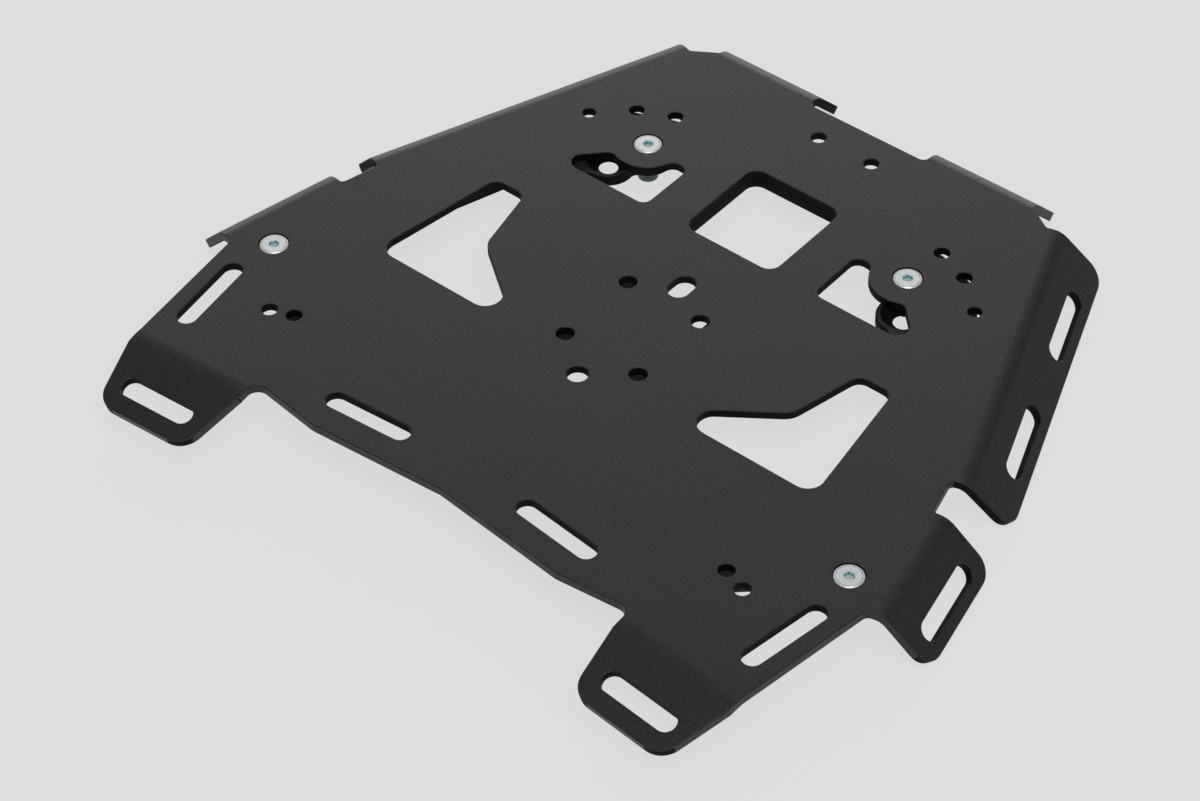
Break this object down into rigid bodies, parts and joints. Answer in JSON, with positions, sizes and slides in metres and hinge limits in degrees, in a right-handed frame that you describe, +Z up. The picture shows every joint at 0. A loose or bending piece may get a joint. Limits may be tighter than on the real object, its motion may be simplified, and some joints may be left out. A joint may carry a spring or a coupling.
{
  "type": "motorcycle luggage rack",
  "caption": "Folded sheet luggage rack with strap slots in its deck and flanges, screwed to a flat mounting plate.",
  "frame": {"origin": "middle of the narrow-end pair of fixing holes, on the underside of the mounting plate", "axes": "+Z up through the deck, +Y along the centre line to the narrow end, +X to the right-hand side"},
  "size_m": [0.3772, 0.3437, 0.0223],
  "materials": {
    "black_powder_coat": "fine matte black powder coat on aluminium sheet",
    "zinc_screw": "bright zinc plating",
    "zinc_insert": "blue zinc plating"
  },
  "bodies": {
    "root": {"top_plate": "black_powder_coat", "mounting_plate": "black_powder_coat", "screw_narrow_left": "zinc_screw", "screw_narrow_right": "zinc_screw", "screw_wide_left": "zinc_screw", "screw_wide_right": "zinc_screw", "insert_narrow_left": "zinc_insert", "insert_narrow_right": "zinc_insert", "insert_wide_left": "zinc_insert", "insert_wide_right": "zinc_insert"}
  },
  "joints": []
}
